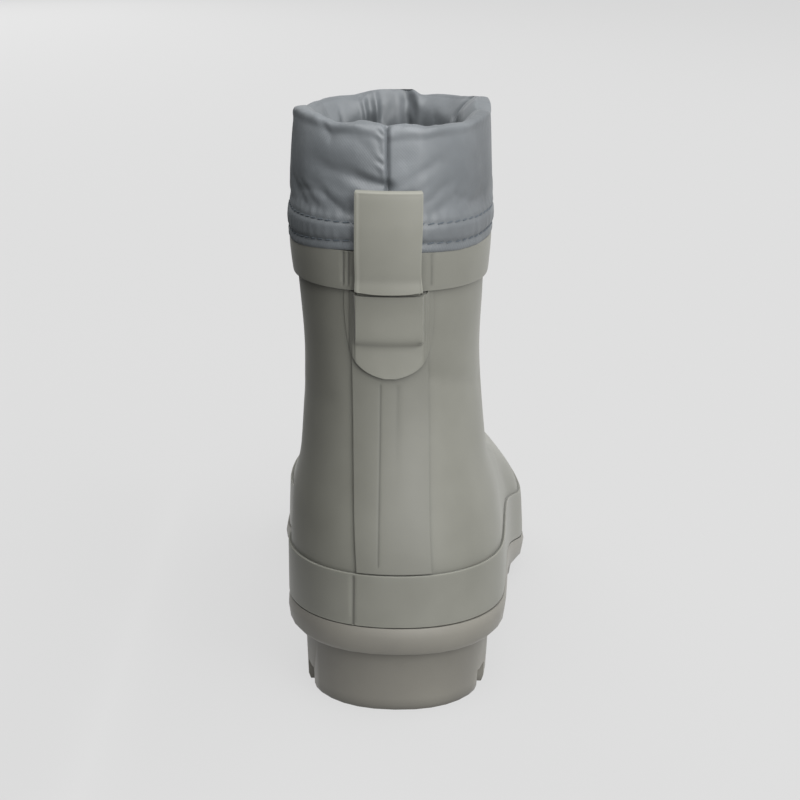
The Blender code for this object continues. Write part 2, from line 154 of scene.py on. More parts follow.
# floor and studio light
studio = {
    "floorReach": 30.0,
    "floorColour": "#404040",
    "floorGlow": 0.63,
    "worldStrength": 0.7,
    "keyPlace": (1.02, -2.08, 0.95),
    "keySize": (1.4, 1.7),
    "keyPower": 52,
    "topPlace": (0.2, -0.8, 2.0),
    "topSize": (2.2, 2.2),
    "topPower": 52,
    "sidePlace": (1.5, 1.2, 0.6),
    "sideSize": (1.4, 1.4),
    "sidePower": 24,
    "frontPlace": (-1.0, 2.0, 0.9),
    "frontSize": (1.6, 1.6),
    "frontPower": 45,
    "aim": (0, -0.1, 0.12),                # every lamp points here
    "flagPlace": (-0.115, -0.15, 0.13),    # black card beside the boot, on its medial side
    "flagSize": (0.6, 0.22),
    "flagColour": "#101010",
}


def areaLight(name, place, size, power, target):
    data = bpy.data.lights.new(name, "AREA")
    data.shape = "RECTANGLE"
    data.size, data.size_y = size
    data.energy = power
    light = bpy.data.objects.new(name, data)
    bpy.context.scene.collection.objects.link(light)
    light.location = place
    light.rotation_euler = (Vector(target) - Vector(place)).to_track_quat("-Z", "Y").to_euler()
    return light


def makeStudio(settings):
    bpy.ops.object.select_all(action="DESELECT")
    bpy.ops.mesh.primitive_plane_add(size=settings["floorReach"], location=(0, 0, 0))
    floor = bpy.context.object
    floor.name = "floor"
    paint, _, shader = newMaterial("backlit_floor_sheet")    # it glows, so shadows on it stay faint
    shader.inputs["Base Color"].default_value = hexColour(settings["floorColour"])
    shader.inputs["Roughness"].default_value = 0.9
    shader.inputs["Specular IOR Level"].default_value = 0.0
    shader.inputs["Emission Color"].default_value = (1, 1, 1, 1)
    shader.inputs["Emission Strength"].default_value = settings["floorGlow"]
    floor.data.materials.append(paint)

    bpy.ops.object.select_all(action="DESELECT")
    bpy.ops.mesh.primitive_plane_add(size=1, location=settings["flagPlace"],
                                     rotation=(math.pi / 2, 0, math.pi / 2))
    flag = bpy.context.object
    flag.name = "flag"
    flag.scale = (*settings["flagSize"], 1)
    bpy.ops.object.transform_apply(location=True, rotation=True, scale=True)
    flag.visible_camera = False
    flag.visible_shadow = False    # it dims the sky on that side, and casts no lamp's shadow
    card, _, shader = newMaterial("black_card")
    shader.inputs["Base Color"].default_value = hexColour(settings["flagColour"])
    shader.inputs["Roughness"].default_value = 0.9
    flag.data.materials.append(card)

    world = bpy.data.worlds.new("studio")
    bpy.context.scene.world = world
    world.use_nodes = True
    sky = world.node_tree.nodes["Background"]
    sky.inputs["Color"].default_value = (1, 1, 1, 1)
    sky.inputs["Strength"].default_value = settings["worldStrength"]

    for name in ("key", "top", "side", "front"):
        place, size, power = (settings[name + part] for part in ("Place", "Size", "Power"))
        lamp = areaLight(name, place, size, power, settings["aim"])
        lamp.visible_glossy = name in ("key", "top")    # the two fills give no glare
    bpy.context.scene.view_settings.view_transform = "Standard"


# satin moulded rubber: a fine even grain left by the mould, soft highlights, slight cloudiness of tone
def rubberMaterial(name, dark, light, roughness, grain, cornerShadeLow):
    made, tree, shader = newMaterial(name)
    place = addNode(tree, "ShaderNodeTexCoord").outputs["Object"]
    cloud = addNode(tree, "ShaderNodeTexNoise",
                    inputs={"Scale": 1 / (35 * mm), "Detail": 3.0, "Roughness": 0.55},
                    links={"Vector": place})
    tone = addNode(tree, "ShaderNodeValToRGB", links={"Fac": cloud.outputs["Fac"]})
    tone.color_ramp.elements[0].position = 0.3
    tone.color_ramp.elements[1].position = 0.7
    tone.color_ramp.elements[0].color = hexColour(dark)
    tone.color_ramp.elements[1].color = hexColour(light)
    # painted highlight and painted shade from the piece's attribute brighten or darken the colour
    paintedLightInput = addNode(tree, "ShaderNodeAttribute", settings={"attribute_name": "paintedLight"})
    paintedBrightness = addNode(tree, "ShaderNodeMapRange",
                  inputs={"From Min": -1.0, "From Max": 1.0, "To Min": 0.6, "To Max": 1.3},
                  links={"Value": paintedLightInput.outputs["Fac"]})
    # painted shade: corners and crevices are darkened by ambient occlusion
    corner = addNode(tree, "ShaderNodeAmbientOcclusion", settings={"samples": 8},
                     inputs={"Distance": 5 * mm})
    paintedCornerShade = addNode(tree, "ShaderNodeMapRange", inputs={"To Min": cornerShadeLow, "To Max": 1.05},
                   links={"Value": corner.outputs["AO"]})
    both = addNode(tree, "ShaderNodeMath", settings={"operation": "MULTIPLY"},
                   links={0: paintedBrightness.outputs["Result"], 1: paintedCornerShade.outputs["Result"]})
    shade = addNode(tree, "ShaderNodeHueSaturation",
                    links={"Color": tone.outputs["Color"], "Value": both.outputs["Value"]})
    tree.links.new(shade.outputs["Color"], shader.inputs["Base Color"])
    fine = addNode(tree, "ShaderNodeTexNoise", inputs={"Scale": 1 / (grain * mm), "Detail": 2.0},
                   links={"Vector": place})
    gloss = addNode(tree, "ShaderNodeMapRange",
                    inputs={"To Min": roughness - 0.06, "To Max": roughness + 0.06},
                    links={"Value": cloud.outputs["Fac"]})
    tree.links.new(gloss.outputs["Result"], shader.inputs["Roughness"])
    bump = addNode(tree, "ShaderNodeBump", inputs={"Strength": 0.12, "Distance": 0.15 * mm},
                   links={"Height": fine.outputs["Fac"]})
    tree.links.new(bump.outputs["Normal"], shader.inputs["Normal"])
    shader.inputs["IOR"].default_value = 1.5
    shader.inputs["Specular IOR Level"].default_value = 0.42
    shader.inputs["Sheen Weight"].default_value = 0.1    # the faint bloom of rubber, at a low angle
    shader.inputs["Sheen Roughness"].default_value = 0.35
    return made


# plain woven nylon: fine square weave of smooth threads with a dull sheen, and painted highlight and
# shade in places;
# real threads are about 0.25 mm apart, and these are drawn coarser so that they show
def nylonMaterial(name, dark, light, thread):
    made, tree, shader = newMaterial(name)
    weave = addNode(tree, "ShaderNodeUVMap", settings={"uv_map": "weave"}).outputs["UV"]
    parts = addNode(tree, "ShaderNodeSeparateXYZ", links={"Vector": weave})
    waves = []
    for axis in ("X", "Y"):
        turned = addNode(tree, "ShaderNodeMath", settings={"operation": "MULTIPLY"},
                         links={0: parts.outputs[axis]})
        turned.inputs[1].default_value = math.pi / thread
        wave = addNode(tree, "ShaderNodeMath", settings={"operation": "SINE"},
                       links={0: turned.outputs[0]})
        waves.append(wave.outputs[0])
    over = addNode(tree, "ShaderNodeMath", settings={"operation": "MULTIPLY"},
                   links={0: waves[0], 1: waves[1]})
    place = addNode(tree, "ShaderNodeTexCoord").outputs["Object"]
    cloud = addNode(tree, "ShaderNodeTexNoise",
                    inputs={"Scale": 1 / (20 * mm), "Detail": 4.0, "Roughness": 0.6},
                    links={"Vector": place})
    mixed = addNode(tree, "ShaderNodeMath", settings={"operation": "MULTIPLY_ADD"},
                    links={0: over.outputs[0], 2: cloud.outputs["Fac"]})
    mixed.inputs[1].default_value = 0.1
    tone = addNode(tree, "ShaderNodeValToRGB", links={"Fac": mixed.outputs[0]})
    tone.color_ramp.elements[0].position = 0.3
    tone.color_ramp.elements[1].position = 0.7
    tone.color_ramp.elements[0].color = hexColour(dark)
    tone.color_ramp.elements[1].color = hexColour(light)
    # painted highlight and painted shade on the cloth, read from the piece's attribute
    paintedLightInput = addNode(tree, "ShaderNodeAttribute", settings={"attribute_name": "paintedLight"})
    paintedBrightness = addNode(tree, "ShaderNodeMapRange",
                  inputs={"From Min": -1.0, "From Max": 1.0, "To Min": 0.6, "To Max": 1.4},
                  links={"Value": paintedLightInput.outputs["Fac"]})
    shade = addNode(tree, "ShaderNodeHueSaturation",
                    links={"Color": tone.outputs["Color"], "Value": paintedBrightness.outputs["Result"]})
    tree.links.new(shade.outputs["Color"], shader.inputs["Base Color"])
    crinkle = addNode(tree, "ShaderNodeTexNoise",
                      inputs={"Scale": 1 / (5 * mm), "Detail": 3.0, "Roughness": 0.6},
                      links={"Vector": place})
    creased = addNode(tree, "ShaderNodeBump", inputs={"Strength": 0.25, "Distance": 0.8 * mm},
                      links={"Height": crinkle.outputs["Fac"]})
    bump = addNode(tree, "ShaderNodeBump", inputs={"Strength": 0.2, "Distance": 0.1 * mm},
                   links={"Height": over.outputs[0], "Normal": creased.outputs["Normal"]})
    tree.links.new(bump.outputs["Normal"], shader.inputs["Normal"])
    shader.inputs["Roughness"].default_value = 0.5
    shader.inputs["Specular IOR Level"].default_value = 0.6
    return made


# spun polyester sewing thread, a shade darker than the cloth
def threadMaterial(name, colour):
    made, tree, shader = newMaterial(name)
    place = addNode(tree, "ShaderNodeTexCoord").outputs["Object"]
    twist = addNode(tree, "ShaderNodeTexNoise", inputs={"Scale": 1 / (0.4 * mm), "Detail": 1.0},
                    links={"Vector": place})
    bump = addNode(tree, "ShaderNodeBump", inputs={"Strength": 0.3, "Distance": 0.1 * mm},
                   links={"Height": twist.outputs["Fac"]})
    tree.links.new(bump.outputs["Normal"], shader.inputs["Normal"])
    shader.inputs["Base Color"].default_value = hexColour(colour)
    shader.inputs["Roughness"].default_value = 0.7
    return made


# knitted cotton lining and cloth-topped foam: matt, short loops
def knitMaterial(name, dark, light, loop):
    made, tree, shader = newMaterial(name)
    place = addNode(tree, "ShaderNodeTexCoord").outputs["Object"]
    loops = addNode(tree, "ShaderNodeTexVoronoi", inputs={"Scale": 1 / (loop * mm)},
                    links={"Vector": place})
    tone = addNode(tree, "ShaderNodeValToRGB", links={"Fac": loops.outputs["Distance"]})
    tone.color_ramp.elements[0].color = hexColour(light)
    tone.color_ramp.elements[1].color = hexColour(dark)
    tree.links.new(tone.outputs["Color"], shader.inputs["Base Color"])
    bump = addNode(tree, "ShaderNodeBump", settings={"invert": True},
                   inputs={"Strength": 0.5, "Distance": 0.4 * mm},
                   links={"Height": loops.outputs["Distance"]})
    tree.links.new(bump.outputs["Normal"], shader.inputs["Normal"])
    shader.inputs["Roughness"].default_value = 0.95
    shader.inputs["Sheen Weight"].default_value = 0.3
    return made


rubber = rubberMaterial("moulded_rubber_satin", "#62625B", "#6A6A63", 0.55, 0.5, 0.6)
soleRubber = rubberMaterial("moulded_rubber_matt", "#615F59", "#696760", 0.6, 0.8, 0.4)
nylon = nylonMaterial("woven_nylon", "#55595C", "#616568", 0.6)
thread = threadMaterial("polyester_thread", "#434A50")
lining = knitMaterial("cotton_knit_lining", "#4B4B48", "#5D5D59", 1.2)
insoleCloth = knitMaterial("foam_cloth_top", "#585856", "#6C6C69", 1.6)

makeCamera(cameraSettings)
makeStudio(studio)
print("materials, camera and studio made")

# rubber pieces over the frame's solids: edges rounded, then the facets smoothed away
# the last entry sets how strongly the convex edges get a painted highlight
rubberPieces = {
    "upper": {"name": "upper_shell", "edge": 0.5, "levels": 2, "sink": 0, "paintedBrightness": 0.3},
    "foxing": {"name": "foxing_strip", "edge": 0.35, "levels": 3, "sink": 0.7, "paintedBrightness": 0.6},
    "top_band": {"name": "shaft_band", "edge": 0.5, "levels": 3, "sink": 0.7, "paintedBrightness": 0.5},
    "back_stay": {"name": "heel_stay", "edge": 0.25, "levels": 3, "sink": 0.6, "paintedBrightness": 0.0},
    "tab_patch": {"name": "keeper_patch", "edge": 0.4, "levels": 3, "sink": 0.5, "paintedBrightness": 0.3},
    "pull_tab": {"name": "pull_strap", "edge": 0.5, "levels": 3, "sink": 0, "paintedBrightness": 0.8},
}
# a line inside the foot and up the leg, in mm, which the boot's walls face away from
footLine = {"x": -1.5, "heelY": -95, "toeY": 100, "z": 48, "legX": -6, "legY": -75, "legFrom": 85}
backMiddle = -5.3    # x of the stay, patch and strap

# lines left by the mould and by the stay under the outer strips: x across, heights of foot and head,
# how softly the line starts at its foot, depth, width
mouldLines = {
    "heel_stay": [(-8.3, 62, 131, 1, 0.1, 0.5), (-1.6, 106, 131, 22, 0.09, 1.3)],
    "foxing_strip": [(-18.0, 36, 57.5, 1, 0.4, 0.55)],
    "shaft_band": [(-23.0, 170, 183, 1, 0.4, 0.35), (-21.0, 170, 183, 1, 0.4, 0.35),
                   (10.6, 170, 183, 1, 0.12, 0.8)],
}
# the strap and patch are painted lighter, and the heel stay is painted darker to dim its highlight
paintedPieceTone = {"pull_strap": 0.5, "keeper_patch": 0.4, "heel_stay": -0.25}    # painted light and shade

# soft creases of the shaft, where the rubber has been bent: points along each, depth, width
shaftCreases = [
    ([(9.5, -123, 133.5), (17.7, -117.2, 131.5), (26.8, -103.8, 127.5), (29, -92, 125)], 0.55, 4.0),
    ([(-27, -115, 122), (-35, -100, 119), (-38.5, -84, 118)], 0.35, 4.5),
]
sharpEdge = 50         # degrees, a bend past this is an edge to round
edgeRadius = 2.0       # mm, a bend this sharp gets the full painted highlight or the full painted shade
lineShade = 0.5        # depth in mm of a mould line that gets the full painted shade


def spokesOut(places):
    at = places / mm
    leg = at[:, 2] > footLine["legFrom"]
    alongFoot = np.clip(at[:, 1], footLine["heelY"], footLine["toeY"])
    inside = np.stack((np.where(leg, footLine["legX"], footLine["x"]),
                       np.where(leg, footLine["legY"], alongFoot),
                       np.where(leg, at[:, 2], np.minimum(at[:, 2], footLine["z"]))), 1)
    out = at - inside
    return out / np.linalg.norm(out, axis=1)[:, None]


def roundEdges(piece, width, sharp):
    applyModifier(piece, "BEVEL", width=width * mm, segments=2, limit_method="ANGLE",
                  angle_limit=math.radians(sharp), use_clamp_overlap=True)


# the strips are vulcanised on, so their inner faces sink a little into what carries them
def sinkInner(piece, depth):
    places, normals = readPoints(piece)
    spokes = spokesOut(places)
    inner = (normals * spokes).sum(1) < -0.3
    places -= spokes * (inner * depth * mm)[:, None]
    writePoints(piece, places)


def pressLines(piece, lines):
    onlySelect(piece)
    for across, *_, width in lines:
        for offset in (-1, -0.5, 0, 0.5, 1):
            bpy.ops.object.mode_set(mode="EDIT")
            bpy.ops.mesh.select_all(action="SELECT")
            bpy.ops.mesh.bisect(plane_co=((across + offset * width) * mm, 0, 0), plane_no=(1, 0, 0))
            bpy.ops.object.mode_set(mode="OBJECT")
    places, normals = readPoints(piece)
    x, _, z = (places / mm).T
    back = normals[:, 1] < -0.3
    pressed = np.zeros(len(x))
    for across, low, high, soft, depth, width in lines:
        groove = np.exp(-((x - across) / width) ** 2) * (1 - step(high - 1, high + 1, z))
        pressed += groove * step(low - soft, low + soft, z) * back * depth
    writePoints(piece, places - normals * (pressed * mm)[:, None])
    return pressed


def creaseShaft(piece, creases):
    places, normals = readPoints(piece)
    at = places / mm
    sunk = np.zeros(len(at))
    for points, depth, width in creases:
        nearest = np.full(len(at), 1e9)
        for start, end in zip(np.array(points, float), np.array(points[1:], float)):
            line = end - start
            share = np.clip((at - start) @ line / (line @ line), 0, 1)
            nearest = np.minimum(nearest, np.linalg.norm(at - start - share[:, None] * line, axis=1))
        sunk += depth * np.exp(-(nearest / width) ** 2)
    outer = (normals * spokesOut(places)).sum(1) > 0
    writePoints(piece, places - normals * (sunk * outer * mm)[:, None])


# painted light: sharp convex edges are painted lighter as a highlight, sharp hollows are painted darker
# as shade
def paintedEdgeLight(piece):
    places, normals = readPoints(piece)
    ends = np.empty(len(piece.data.edges) * 2, np.int32)
    piece.data.edges.foreach_get("vertices", ends)
    first, second = ends.reshape(-1, 2).T
    along = (places[first] - places[second]) / mm
    square = np.maximum((along * along).sum(1), 1e-9)
    bend, count = np.zeros(len(places)), np.zeros(len(places))
    for point, sign in ((first, 1), (second, -1)):
        np.add.at(bend, point, sign * (normals[point] * along).sum(1) / square)
        np.add.at(count, point, 1)
    roundness = 4 * bend / np.maximum(count, 1)    # this is 1 over the radius of an edge
    paintedLight = np.clip(roundness * edgeRadius, -1, 1)
    spread = np.zeros(len(places))
    np.add.at(spread, first, paintedLight[second])
    np.add.at(spread, second, paintedLight[first])
    return 0.5 * paintedLight + 0.5 * spread / np.maximum(count, 1)


# keeps the painted highlight and painted shade as a point attribute, which the materials read
def keepPaintedLight(piece, paintedLight):
    layer = piece.data.attributes.new("paintedLight", "FLOAT", "POINT")
    layer.data.foreach_set("value", np.clip(paintedLight, -1, 1).astype(np.float32))


# the strap: the free end of its folded front layer, its top, and the raised border round it
strapEnd = {
    "front": 3.9,            # points at least this far off the shaft are in the front layer
    "from": 176,             # the free end is drawn up below this height
    "end": 165.4,
    "raise": 2.8,
    "half": 11.4,
    "cornerRise": 0.7,       # the corners are rounded
    "topFrom": 190,
    "top": 206,
    "topRaise": 0.9,
    "border": 0.9,           # in from the edge to the middle of the border
    "borderWide": 0.5,
    "borderHigh": 0.22,
    "borderLightReach": 1.3,        # painted pale as a highlight as far in as this many times that
    "borderFrom": (167, 169),
}


def shapeStrap(piece, settings):
    places, _ = readPoints(piece)
    bpy.context.view_layer.update()
    shaft = bpy.data.objects["upper_shell"]
    x, _, z = (places / mm).T
    for i in np.flatnonzero(z < settings["from"]):
        _, near, _, _ = shaft.closest_point_on_mesh(Vector(places[i]))
        if (Vector(places[i]) - near).length < settings["front"] * mm:
            continue
        share = (settings["from"] - z[i]) / (settings["from"] - settings["end"])
        corner = min(abs(x[i] - backMiddle) / settings["half"], 1) ** 5
        places[i, 2] += (settings["raise"] * share + settings["cornerRise"] * corner * share ** 4) * mm
    places[:, 2] += settings["topRaise"] * step(settings["topFrom"], settings["top"], z) * mm
    writePoints(piece, places)


def borderStrap(piece, settings):
    places, normals = readPoints(piece)
    x, _, z = (places / mm).T
    away = np.abs(x - backMiddle)
    level = np.round(z).astype(int)
    widest = np.zeros(level.max() + 1)
    np.maximum.at(widest, level, away)
    inset = np.minimum(widest[level] - away, z.max() - z)
    shown = (normals[:, 1] < -0.5) * step(*settings["borderFrom"], z)
    bead = np.exp(-((inset - settings["border"]) / settings["borderWide"]) ** 2) * shown
    writePoints(piece, places + normals * (bead * settings["borderHigh"] * mm)[:, None])
    # the border is painted pale, a painted highlight
    return np.exp(-(inset / settings["border"] / settings["borderLightReach"]) ** 4) * shown


# the patch's wings drop over the stay's edges and thin out on the shaft: distances from the middle
patchWings = {
    "drops": [((12.6, 13.8), 0.4), ((14.0, 14.8), 0.8), ((14.8, 16.4), 1.0)],    # from, to, depth
    "innerFrom": (12.6, 14.8),
    "innerDrop": 1.4,
    # the painted light and shade fade out over this distance from the middle
    "paintedLightTo": (12.6, 13.8),
    "tuckFrom": (14.4, 15.4),       # the wings' upper corners are tucked under the band
    "tuckHigh": (163.5, 167.2),
    "tuck": 1.2,
}


def shapePatch(piece, settings):
    places, normals = readPoints(piece)
    spokes = spokesOut(places)
    x, _, z = (places / mm).T
    away = np.abs(x - backMiddle)
    facing = (normals * spokes).sum(1)
    drop = sum(depth * step(*span, away) for span, depth in settings["drops"])
    drop = np.where(facing > -0.2, drop, settings["innerDrop"] * step(*settings["innerFrom"], away))
    places -= spokes * (drop * mm)[:, None]
    tucked = step(*settings["tuckFrom"], away) * step(*settings["tuckHigh"], z)
    places[:, 2] += settings["tuck"] * tucked * mm
    writePoints(piece, places)
    # the painted light and shade are kept off the wings
    return 1 - step(*settings["paintedLightTo"], away)


for nodeName, settings in rubberPieces.items():
    piece = copyOf(nodeName, settings["name"])
    if nodeName == "pull_tab":
        shapeStrap(piece, strapEnd)
    roundEdges(piece, settings["edge"], sharpEdge)
    applyModifier(piece, "SUBSURF", levels=settings["levels"], render_levels=settings["levels"])
    piece.data.materials.append(rubber)
    if settings["sink"]:
        sinkInner(piece, settings["sink"])
    if nodeName == "upper":
        creaseShaft(piece, shaftCreases)
    pressed = pressLines(piece, mouldLines.get(settings["name"], []))
    paintedLight = paintedEdgeLight(piece)
    # painted highlight on convex edges, kept off the mould lines; hollows keep their painted shade
    paintedLight = np.where(paintedLight > 0, paintedLight * settings["paintedBrightness"] * (pressed < 0.01), paintedLight)
    paintedLight += paintedPieceTone.get(settings["name"], 0)
    if nodeName == "tab_patch":
        paintedLight *= shapePatch(piece, patchWings)
    if nodeName == "pull_tab":
        paintedLight = np.maximum(paintedLight, borderStrap(piece, strapEnd))
    # the mould lines are painted darker as shade
    keepPaintedLight(piece, paintedLight - pressed / lineShade)
    finishPiece(piece, nodeName)
    print(settings["name"], len(piece.data.polygons), "faces")

# inside of the upper: knitted lining on the faces that look at the foot
upper = bpy.data.objects["upper_shell"]
upper.data.materials.append(lining)
centres = np.array([face.center for face in upper.data.polygons])
facings = np.array([face.normal for face in upper.data.polygons])
lined = (spokesOut(centres) * facings).sum(1) < 0
upper.data.polygons.foreach_set("material_index", lined.astype(np.int32))

# lugged sole: the solid's own lugs and flange with their edges rounded
soleSettings = {"edge": 0.4, "sharp": 38, "paintedBrightness": 0.4}
sole = copyOf("outsole", "lugged_sole")
roundEdges(sole, soleSettings["edge"], soleSettings["sharp"])
sole.data.materials.append(soleRubber)
# painted highlight on the sole's convex edges and painted shade in its hollows
keepPaintedLight(sole, soleSettings["paintedBrightness"] * paintedEdgeLight(sole))
finishPiece(sole, "outsole")
print("lugged_sole", len(sole.data.polygons), "faces")

# padded collar: places are millimetres round it from the back, positive on the lateral side, and heights
collarSettings = {
    "voxel": 1.25,
    "squareness": 2.2,          # the rounded outline is a little squarer than an oval
    "shaftTop": 194,            # below this there is only the hem
    "hemBacking": 1.8,          # the hem is thickened into the shaft, so that remeshing keeps its edge
    "hemBackTo": 196,
    "hemBackReach": (0.955, 0.025),    # where the hem's back lies, as a share of the way out, and spread
    "startInset": 2.3,          # the padding starts smaller, because the cloth swells
    "padFrom": (194, 197.5),
    "padFacing": (-0.3, 0.3),
    "outerFacing": (-0.35, 0.15),
    "innerFacing": (-0.5, 0.1),
    "simScale": 5,
    "hemHeld": 185.6,
    "footHeld": 200,
    "heldHalf": 0.8,
    "seams": (-0.8, 153.5),
    "seamsFrom": 196,
    "cloth": {"quality": 6, "mass": 0.2, "tension_stiffness": 12, "compression_stiffness": 12,
              "shear_stiffness": 4, "bending_stiffness": 0.15, "use_pressure": True},
    "spareCloth": 0.018,
    "pressure": 4,
    "frames": 20,
    "mostMove": 2.5,
    "settle": 6,                # rounds of smoothing: the padding holds the smallest wrinkles flat
    "rim": [(-153.5, -0.1), (-147, 0.4), (-141, 0.8), (-135, 0), (-125, -0.1), (-110, -0.6), (-98, -1.2),
            (-85, -1.2), (-76, -0.4), (-66, 2.0), (-58, 3.3), (-50, 3.7), (-45, 3.7), (-36, 3.8),
            (-30, 3.1), (-25, 1.9), (-20, 2.2), (-14, 2.7), (-9.5, 2.0), (-5, 0.9), (-1, -0.3), (3, 0.4),
            (7, 0.9), (15, 0.8), (20, 1.6), (28, 1.7), (40, 1.8), (45, 2.2), (60, 2.4), (70, 2.9),
            (79, 5.4), (87, 5.7), (100, 3.4), (118, 1.4), (129, 0.9), (136, 0.7), (141, 0.7),
            (144.5, 1.1), (147, 0.7), (153.5, -0.1)],
    "rimFrom": (208, 223),
    "rimEdge": 1.5,             # the outer edge of the rim is folded rather than rolled
    "rimEdgeFrom": (224.5, 229.5),
    "rimEdgeFacing": (0.05, 0.6),
    "rimLift": 0.5,
    "rimLiftFrom": (228, 231),
    "corners": [(-56, 11, 1.3, 1.4), (60, 12, 0.8, 0.8)],    # cloth juts out: middle, half width, out, up
    "cornersFrom": (218, 229),
    "cornersFacing": (-0.2, 0.4),
    "hem": [(-147, 0), (-90, -0.8), (-50, -2.0), (-39, -1.4), (-16, 0.3), (15, -0.3), (30, -0.8),
            (43, -0.5), (53, 0.3), (90, 0.2), (147, 0)],
    "hemTo": (186, 198),
    "skirtTo": (184.4, 187.4),  # the cloth under the lower row hangs over the band's top edge
    "skirtDrop": 1.6,
    "skirtOut": 0.9,
    "stitchRows": (187.2, 194.4),
    "rowDepth": 0.5,
    "rowWidth": 0.9,
    "pucker": 0.12,             # ripples above each row
    "puckerUp": 2.2,
    "puckerHigh": 2.4,
    "puckerWaves": [(0.6, 0.72, 0), (0.4, 1.13, 1.7)],    # share, length, start
    "seamPucker": 0.3,          # slanted ripples beside the back seam
    "seamPuckerAt": -3.4,
    "seamPuckerWide": 2.0,
    "seamPuckerFrom": (207, 213),
    "seamPuckerPitch": 5.4,
    "seamPuckerSlant": 0.6,
    "seamPuckerWander": (1.4, 0.55),
    "gatherFrom": (196, 204),   # the inner folds start above the shaft and are half as deep at the rim
    "gatherSoft": (225, 231),
    "foldLine": 231.4,          # height where the cloth turns inward
}

# creases and ridges: points along each, height of the ridge or depth of the trough (or several from end
# to end), width
outerFolds = [
    ([(-1.0, 233), (-0.8, 220), (-0.4, 197)], -1.6, 0.75),    # back seam
    ([(-37, 214.5), (-28, 213.4), (-20, 212.2), (-13.8, 211), (-6, 209.4), (-0.5, 208)],
     (-0.1, -2.1), 2.1),
    ([(-46, 203.5), (-37, 204.4), (-28, 203.4)], -0.4, 1.8),
    ([(-33, 232), (-29, 227), (-25, 224)], -0.5, 2.2),
    ([(-22, 226), (-12, 222.5), (-4, 218)], -0.35, 2.4),
    ([(12, 229), (13, 214), (12, 200)], 0.6, 4.5),
    ([(30, 203), (42, 199.5), (52, 201)], -0.5, 2.2),
    ([(40, 226), (47, 219), (52, 210)], -0.25, 3.5),
    ([(66, 229), (71, 219), (69, 205)], (-0.2, -0.9, 0), 3.2),
    ([(84, 216), (95, 210), (107, 202)], (0, -1.0, 0), 3.0),
    ([(110, 229), (115, 218), (113, 205)], (-0.3, -1.0, 0), 3.2),
    ([(124, 218), (136, 212), (148, 203)], (0, -0.9, 0), 3.0),
    ([(138, 230), (140, 222), (137, 212)], (-0.5, -0.7, 0), 2.6),
    ([(-68, 230), (-65, 220), (-67, 207)], (-0.2, -0.9, 0), 3.2),
    ([(-82, 204), (-93, 210), (-106, 215)], (0, -1.0, 0), 3.0),
    ([(-113, 229), (-117, 219), (-114, 205)], (-0.3, -0.9, 0), 3.2),
    ([(-126, 203), (-138, 211), (-150, 217)], (0, -0.9, 0), 3.0),
]
outerPuffs = [  # middle, height, swell, half width, half height
    (-20, 219.5, 1.1, 14, 5.0),
    (-25, 203.5, 0.9, 17, 4.0),
    (-40, 216, 1.3, 12, 11),
    (-64, 214, 0.5, 10, 9),
    (22, 213, 0.7, 14, 12),
    (60, 212, 0.7, 12, 10),
    (95, 217, 0.9, 12, 6),
    (122, 215, 0.9, 9, 8),
    (-95, 218, 0.9, 12, 5),
    (-124, 220, 0.8, 10, 5),
]
paintedCollarTones = [  # the same, but painted highlight and painted shade
    (7, 216, 0.5, 8, 18),
    (50, 206, -0.75, 17, 26),
    (28, 190, -0.45, 14, 7),
    (-37, 216, 0.6, 14, 15),
]
innerFolds = [
    ([(-136, 231), (-137.5, 220), (-139, 206)], 1.6, 1.5),
    ([(-143.5, 231), (-144.8, 218), (-145, 205)], 1.6, 1.5),
    ([(-140, 231), (-141, 216), (-141.5, 204)], -0.8, 1.6),
    ([(147, 231), (146.5, 218), (145, 205)], -2.8, 3.2),
    ([(140.5, 231), (140, 217), (140, 204)], 1.2, 2.5),
    ([(99, 232), (106, 227), (112, 221)], -1.6, 1.8),
    ([(92, 231), (98, 225), (104, 219)], 1.2, 3.5),
    ([(-112, 228), (-110, 214), (-112, 203)], -0.6, 2.6),
    ([(-70, 228), (-72, 213), (-70, 203)], -0.9, 2.8),
    ([(68, 228), (70, 213), (68, 203)], -0.9, 2.8),
    ([(-30, 227), (-32, 213), (-30, 203)], -0.9, 2.6),
    ([(0, 228), (0, 203)], -1.2, 1.2),
    ([(30, 227), (28, 213), (30, 203)], -0.9, 2.6),
]


def collarBox():
    low, high = np.array(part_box("collar"))
    return (low + high) / 2, (high - low) / 2


def collarOutline(settings):
    _, half = collarBox()
    turns = np.linspace(-math.pi, math.pi, 721)
    power = 2 / settings["squareness"]
    x = half[0] / mm * np.sign(np.sin(turns)) * np.abs(np.sin(turns)) ** power
    y = half[1] / mm * np.sign(np.cos(turns)) * np.abs(np.cos(turns)) ** power
    length = np.concatenate(([0], np.cumsum(np.hypot(np.diff(x), np.diff(y)))))
    angle = np.unwrap(np.arctan2(x, y))
    length -= np.interp(0, angle, length)
    return angle, length


def roundCollar(places, outline):
    middle, _ = collarBox()
    angle = np.arctan2(places[:, 0] - middle[0], -(places[:, 1] - middle[1]))
    return np.interp(angle, *outline)


def collarReach(places, settings):
    middle, half = collarBox()
    share = np.abs(places - middle)[:, :2] / half[:2]
    power = settings["squareness"]
    return (share ** power).sum(1) ** (1 / power)    # 1 on the outer side


def wrapped(distance, whole):
    return (distance + whole / 2) % whole - whole / 2


